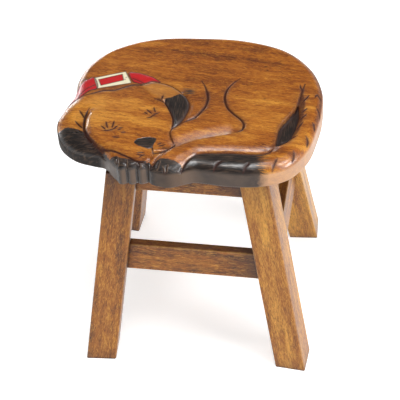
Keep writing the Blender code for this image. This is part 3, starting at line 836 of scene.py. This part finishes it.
def seat_material():
    """Oiled and varnished seat wood with dark stain, red and cream paint and dark cut lines, a painted sheen
    on its upright side, painted highlights on its claws, toes and front rim, and painted shade along its back
    and right edge and round the leaf.
    """
    material, nodes = new_material("carved_seat_wood")
    place = nodes.add("ShaderNodeTexCoord").outputs["Object"]

    def paint(name):
        """How much of a paint the carving holds at each place."""
        return nodes.add("ShaderNodeAttribute", attribute_name=name).outputs["Fac"]

    def brush(length, width):
        """Noise with features of the given length on x and width on y."""
        scale = (1 / length, 1 / width, 1 / HAIR_DEPTH)
        stretched = nodes.add("ShaderNodeMapping", {"Vector": place, "Scale": scale}).outputs[0]
        return nodes.noise(stretched, 1.0, 3.0, 0.6)

    grain = Matrix.Rotation(SEAT_GRAIN_TURN, 3, "Z")
    base, relief, _ = wood_base(nodes, grain, SEAT_SEED, SEAT_TONES, SEAT_GRAIN, paint("gold"))
    blotch = nodes.noise(place, 190.0, 4.0, 0.6)
    base = nodes.tint(base, paint("pale"), 0.7, PALE_EAR)
    side = paint("side")
    # Painted reflection: the upright side is washed toward pale tan, standing in for the bright floor
    # mirrored in its varnish
    side_sheen_mask = nodes.ramp(side, [(0.55, BLACK), (1.0, WHITE)])
    base = nodes.tint(base, side_sheen_mask, 0.65, SIDE_SHEEN)

    # Black stain with brush hairs: they break up its soft ends and show brown where it is rubbed. The brown
    # beside the claws, on the toes' right flanks and on the front rim is a painted highlight, and on the
    # upright side the stain is lighter, partly a painted sheen.
    upright = paint("upright")
    hair = nodes.add("ShaderNodeMix", {
        0: upright, 2: brush(HAIR_LENGTH, HAIR_WIDTH), 3: brush(HAIR_WIDTH, HAIR_LENGTH),
    }).outputs[0]
    stained = paint("black")
    ends = nodes.math("MULTIPLY", nodes.math("MULTIPLY", stained, nodes.math("SUBTRACT", 1.0, stained)), 11.0)
    ragged = nodes.math("MULTIPLY", ends, nodes.math("SUBTRACT", 1.0, nodes.math("MULTIPLY", side_sheen_mask, 0.8)))
    uneven = nodes.math("MULTIPLY", nodes.math("SUBTRACT", hair, 0.5), ragged)
    black = nodes.ramp(nodes.math("ADD", stained, uneven), [(0.2, BLACK), (0.75, WHITE)])
    worn = nodes.math("SUBTRACT", 0.75, nodes.math("MULTIPLY", side, 0.5))
    worn = nodes.math("SUBTRACT", worn, nodes.math("MULTIPLY", upright, 0.15))
    brown = nodes.math("MULTIPLY", nodes.ramp(hair, [(0.48, BLACK), (0.7, WHITE)]), worn)
    rubbed = nodes.math("MAXIMUM", brown, paint("rubbed"))
    # On the upright side the black stain turns a lighter grey-brown, partly thinner stain and partly a
    # painted sheen; brown clouds vary it
    cloud = nodes.ramp(nodes.noise(place, 60.0, 2.0, 0.5), [(0.4, BLACK), (0.65, WHITE)])
    side_black_and_sheen = nodes.tint(SIDE_STAIN_AND_SHEEN, cloud, 0.3, WORN_STAIN_AND_HIGHLIGHT)
    stain = nodes.mix(side_sheen_mask, BLACK_STAIN, side_black_and_sheen)
    base = nodes.mix(black, base, nodes.mix(rubbed, stain, WORN_STAIN_AND_HIGHLIGHT))

    # Scuffed paint of the collar and its buckle, then the patina in the cuts, which also carries the painted
    # shade along the back and right edge and round the leaf
    scuffed = nodes.ramp(blotch, [(0.52, BLACK), (0.72, WHITE)])
    base = nodes.mix(paint("red"), base, nodes.tint(COLLAR_RED, scuffed, 0.3, SCUFFED_RED))
    base = nodes.mix(paint("cream"), base, nodes.tint(BUCKLE_CREAM, scuffed, 0.3, SCUFFED_CREAM))
    dark = paint("dark")
    base = nodes.mix(dark, base, PATINA_AND_SHADE)

    # Relief, roughness and varnish
    bare = nodes.math("SUBTRACT", 1.0, black)
    brushed = nodes.math("MULTIPLY", hair, nodes.math("MULTIPLY", black, 2.5))
    relief = nodes.math("ADD", nodes.math("MULTIPLY", relief, bare), brushed)
    dull = nodes.math("ADD", 0.26, nodes.math("MULTIPLY", dark, 0.4))
    matte = paint("matte")
    dull = nodes.math("ADD", dull, nodes.math("MULTIPLY", matte, 0.3))
    rough = nodes.math("ADD", nodes.math("MULTIPLY", blotch, 0.14), dull)
    shiny = nodes.math("ADD", 0.6, nodes.math("MULTIPLY", black, 0.3))
    shiny = nodes.math("ADD", shiny, nodes.math("MULTIPLY", paint("gloss"), 0.4), clamp=True)
    dimmed = nodes.math("MAXIMUM", nodes.math("MAXIMUM", nodes.math("MULTIPLY", side, 0.7), matte), dark)
    coat = nodes.math("MULTIPLY", shiny, nodes.math("SUBTRACT", 1.0, dimmed))
    return varnished(material, nodes, base, relief, rough, coat, SEAT_GLOSS)


def face_planes(name, turn):
    """Outer faces of a timber: for each local axis of the turn, a point and a normal at its two ends."""
    faces = NODES[name].data.polygons
    pairs = []
    for axis in turn.transposed():
        pair = []
        for sign in (1, -1):
            outward = sign * axis.normalized()
            face = max((f for f in faces if f.normal.dot(outward) > FACING), key=lambda f: f.area)
            pair.append((face.center.copy(), face.normal.copy()))
        pairs.append(pair)
    return pairs


def timber_material(name, turn, seed, gold):
    """Oiled and varnished frame wood with its grain along one timber, rubbed edges that are partly a painted
    highlight, and dirt and painted shade at its ends.

    Some timbers darken toward their right or upper end, a painted shadow of the seat and the next leg. A
    stretcher is also darker on top, partly dust and partly painted shade under the seat.
    """
    material, nodes = new_material(name + "_wood")
    base, relief, patch = wood_base(nodes, turn, seed, FRAME_TONES, FRAME_GRAIN, gold)
    place = nodes.add("ShaderNodeTexCoord").outputs["Object"]

    def depth_below(point, normal):
        """How far places are below a face."""
        dot = nodes.add("ShaderNodeVectorMath", {0: place, 1: normal}, operation="DOT_PRODUCT")
        return nodes.math("SUBTRACT", point.dot(normal), dot.outputs["Value"])

    def wear_and_shade(base, depth, kind, tone):
        """A colour that takes on another one near a face."""
        per_metre, full, gone, strength = kind
        mask = nodes.ramp(nodes.math("MULTIPLY", depth, per_metre), [(full, WHITE), (gone, BLACK)])
        return nodes.tint(base, mask, strength, tone)

    depths = [[depth_below(*face) for face in pair] for pair in face_planes(name, turn)]
    end, across, through = [nodes.math("MINIMUM", *pair) for pair in depths]
    far_end = depths[0][0]
    top = depths[2][0]
    # Painted shadow: darker toward the right or upper end of this timber
    if name in PAINTED_SHADOW:
        reach, amount = PAINTED_SHADOW[name]
        base = wear_and_shade(base, far_end, (1 / reach, 0.1, 1.0, amount), DIRT_AND_SHADE)
    chips = nodes.noise(place, CHIP_SCALE, 4.0, 0.65)
    uneven = nodes.math("MULTIPLY", nodes.math("SUBTRACT", chips, 0.5), CHIP_SHIFT)
    edge = nodes.math("ADD", nodes.math("MAXIMUM", across, through), uneven)
    # Dust with painted shade: a stretcher is darker on top, under the seat
    if name.startswith("stretcher_"):
        base = wear_and_shade(base, top, DUST_AND_SHADE, DIRT_AND_SHADE)
    # Pale worn edges, partly a painted edge highlight
    base = wear_and_shade(base, edge, RUBBED_LEG_AND_HIGHLIGHT if name.startswith("leg_") else RUBBED_BOARD_AND_HIGHLIGHT, WORN_EDGE_AND_HIGHLIGHT)
    base = wear_and_shade(base, nodes.math("ADD", end, uneven), GRIME, DIRT_AND_SHADE)
    # Dirt and painted shade: darker within about 14 mm of each end, where the timbers meet
    base = wear_and_shade(base, end, SOIL_AND_SHADE, DIRT_AND_SHADE)
    rough = nodes.math("ADD", 0.34, nodes.math("MULTIPLY", patch, 0.2))
    return varnished(material, nodes, base, relief, rough, TIMBER_COAT, TIMBER_GLOSS)


def leg_axes(name):
    """Turn whose X runs up a leg, from its foot to its top, and whose Y looks out of its broadest face."""
    co = np.array([v.co for v in NODES[name].data.vertices])
    foot = co[co[:, 2] < co[:, 2].min() + END_SLICE].mean(0)
    head = co[co[:, 2] > co[:, 2].max() - END_SLICE].mean(0)
    up = Vector(head - foot).normalized()
    sides = (f for f in NODES[name].data.polygons if abs(f.normal.z) < STEEPEST)
    broad = max(sides, key=lambda f: f.area)
    across = (broad.normal - broad.normal.dot(up) * up).normalized()
    return Matrix((up, across, up.cross(across))).transposed()


def dress_frame():
    """Gives each leg, rail and stretcher wood with its own grain."""
    for number, name in enumerate(sorted(NODES)):
        if name.startswith("leg_"):
            turn = leg_axes(name)
        elif name.startswith(("upper_rail_", "stretcher_")):
            turn = Matrix.Identity(3) if name.endswith(("front", "back")) else Matrix.Rotation(pi / 2, 3, "Z")
        else:
            continue
        seed = [step * number for step in SEED_STEP]
        gold = TIMBER_GOLD.get(name, MIDDLING_GOLD)
        NODES[name].data.materials[0] = timber_material(name, turn, seed, gold)


def dowel_material():
    """Pale beech with fine grain."""
    material, nodes = new_material("dowel_beech")
    along = Matrix.Identity(3)
    base, relief, patch = wood_base(nodes, along, DOWEL_SEED, DOWEL_TONES, FRAME_GRAIN, MIDDLING_GOLD)
    rough = nodes.math("ADD", 0.5, nodes.math("MULTIPLY", patch, 0.2))
    return varnished(material, nodes, base, relief, rough, 0.0, TIMBER_GLOSS)


def steel_material():
    """Zinc-plated screw steel with a slightly uneven surface."""
    material, nodes = new_material("screw_zinc")
    place = nodes.add("ShaderNodeTexCoord").outputs["Object"]
    cloud = nodes.noise(place, 900.0, 4.0, 0.6)
    base = nodes.ramp(cloud, [(0.3, colour(150, 148, 142)), (0.7, colour(200, 198, 192))])
    rough = nodes.math("ADD", 0.25, nodes.math("MULTIPLY", cloud, 0.25))
    shader = material.node_tree.nodes["Principled BSDF"]
    shader.inputs["Metallic"].default_value = 1.0
    bump = nodes.add("ShaderNodeBump", {"Height": cloud, "Strength": 0.1, "Distance": 0.0001})
    for socket, output in (("Base Color", base), ("Roughness", rough), ("Normal", bump.outputs[0])):
        material.node_tree.links.new(output, shader.inputs[socket])
    return material


def dress_fasteners():
    """Materials of the dowels and screws."""
    beech = dowel_material()
    steel = steel_material()
    for name, node in NODES.items():
        if name.startswith("dowel_"):
            node.data.materials[0] = beech
        elif name.startswith("seat_screw_"):
            node.data.materials[0] = steel


# Camera, found from the legs' edges in the photograph
CAMERA_AZIMUTH = radians(9.05)
CAMERA_ELEVATION = radians(44.16)
CAMERA_ROLL = radians(-3.84)
CAMERA_DISTANCE = 1.6173
CAMERA_TARGET = Vector((0.0028, 0.0, 0.1337))
CAMERA_LENS = 137.4
SENSOR_WIDTH = 36.0
CLIP_START = 0.05


def place_camera():
    """Camera at the photograph's viewing angle."""
    flat = cos(CAMERA_ELEVATION)
    back = Vector((sin(CAMERA_AZIMUTH) * flat, -cos(CAMERA_AZIMUTH) * flat, sin(CAMERA_ELEVATION)))
    level = Vector((cos(CAMERA_AZIMUTH), sin(CAMERA_AZIMUTH), 0.0))
    up = back.cross(level)
    right = cos(CAMERA_ROLL) * level + sin(CAMERA_ROLL) * up
    data = bpy.data.cameras.new("camera")
    data.lens = CAMERA_LENS
    data.sensor_width = SENSOR_WIDTH
    data.clip_start = CLIP_START
    camera = bpy.data.objects.new("camera", data)
    turn = Matrix((right, back.cross(right), back)).transposed().to_4x4()
    camera.matrix_world = Matrix.Translation(CAMERA_TARGET + back * CAMERA_DISTANCE) @ turn
    bpy.context.scene.collection.objects.link(camera)
    bpy.context.scene.camera = camera


def add_light(name, place, size, power, felt, mirrored):
    """A soft box that faces the stool; it lights the surfaces, shows in the varnish, or both."""
    data = bpy.data.lights.new(name, "AREA")
    data.shape = "RECTANGLE"
    data.size, data.size_y = size
    data.energy = power
    light = bpy.data.objects.new(name, data)
    light.visible_diffuse = felt
    light.visible_glossy = mirrored
    light.visible_camera = False
    aim = Vector(place) - CAMERA_TARGET
    light.matrix_world = Matrix.Translation(place) @ aim.to_track_quat("Z", "Y").to_matrix().to_4x4()
    bpy.context.scene.collection.objects.link(light)


# The stage: size and grey of the floor, how bright it is seen near the stool, and the light of the room
FLOOR_SIZE = 12.0
FLOOR_GREY = 0.86
FLOOR_LIFT = 0.57
ROOM_LIGHT = 0.15

# Soft boxes: place, size, power, whether the surfaces feel it and whether the varnish mirrors it
LIGHTS = {
    "key": ((1.3, -0.55, 0.8), (0.6, 0.6), 14.0, True, False),
    "fill": ((-0.5, -1.6, 0.9), (1.2, 1.0), 10.0, True, False),
    "overhead": ((0.2, 0.0, 1.45), (1.0, 0.65), 4.0, True, True),
    "overhead_core": ((0.02, -0.1, 1.4), (0.35, 0.3), 4.0, True, True),
    "glint": ((0.1, -0.55, 1.45), (0.12, 0.12), 0.8, True, True),
    "back": ((-0.8, 1.5, 0.9), (1.0, 1.0), 6.5, True, False),
    "left_panel": ((-1.35, 1.7, 0.33), (2.4, 0.16), 16.0, False, True),
    "right_panel": ((0.85, -0.25, 1.42), (0.45, 0.3), 9.0, False, True),
    "right_low": ((1.25, -0.42, 0.85), (0.6, 0.35), 24.0, False, True),
}


def background_ray(nodes):
    """1 for a ray that shows the background: straight from the camera, mirrored or through glass."""
    path = nodes.add("ShaderNodeLightPath").outputs
    mirrored = nodes.math("MAXIMUM", path["Is Glossy Ray"], path["Is Transmission Ray"])
    return nodes.math("MAXIMUM", path["Is Camera Ray"], mirrored)


def build_floor():
    """White floor that keeps the stool's shadow."""
    mesh = bpy.data.meshes.new("floor")
    half = FLOOR_SIZE / 2
    corners = [(-half, -half, 0), (half, -half, 0), (half, half, 0), (-half, half, 0)]
    mesh.from_pydata(corners, [], [(0, 1, 2, 3)])
    floor = bpy.data.objects.new("floor", mesh)
    bpy.context.scene.collection.objects.link(floor)
    material, nodes = new_material("floor_white")
    shader = material.node_tree.nodes["Principled BSDF"]
    shader.inputs["Base Color"].default_value = (FLOOR_GREY, FLOOR_GREY, FLOOR_GREY, 1)
    shader.inputs["Roughness"].default_value = 0.9
    shader.inputs["Specular IOR Level"].default_value = 0.1
    seen = background_ray(nodes)
    place = nodes.add("ShaderNodeTexCoord").outputs["Object"]
    away = nodes.add("ShaderNodeVectorMath", {0: place}, operation="LENGTH").outputs["Value"]
    near = nodes.ramp(nodes.math("MULTIPLY", away, 0.4), [(0.25, WHITE), (1.0, BLACK)])
    lift = nodes.math("SUBTRACT", 1.0, nodes.math("MULTIPLY", near, 1 - FLOOR_LIFT))
    glow = nodes.add("ShaderNodeEmission", {"Strength": nodes.math("MULTIPLY", seen, lift)})
    both = nodes.add("ShaderNodeAddShader", {0: shader.outputs[0], 1: glow.outputs[0]})
    material.node_tree.links.new(both.outputs[0], material.node_tree.nodes["Material Output"].inputs[0])
    mesh.materials.append(material)


def build_room():
    """White walls that are seen near the horizon, and a dim even light."""
    world = bpy.data.worlds.new("room")
    world.use_nodes = True
    bpy.context.scene.world = world
    tree = Nodes(world.node_tree)
    direction = tree.add("ShaderNodeTexCoord").outputs["Generated"]
    up = tree.add("ShaderNodeSeparateXYZ", {0: direction}).outputs[2]
    wall = tree.ramp(up, [(0.08, WHITE), (0.4, (ROOM_LIGHT, ROOM_LIGHT, ROOM_LIGHT, 1))])
    strength = tree.add("ShaderNodeMix", {0: background_ray(tree), 2: ROOM_LIGHT, 3: wall})
    background = world.node_tree.nodes["Background"]
    background.inputs[0].default_value = WHITE
    world.node_tree.links.new(strength.outputs[0], background.inputs[1])


def build_stage():
    """The floor, the room and its soft boxes."""
    build_floor()
    build_room()
    for name, settings in LIGHTS.items():
        add_light(name, *settings)


bpy.context.scene.view_settings.view_transform = "Standard"
build_seat(seat_material())
dress_frame()
dress_fasteners()
place_camera()
build_stage()
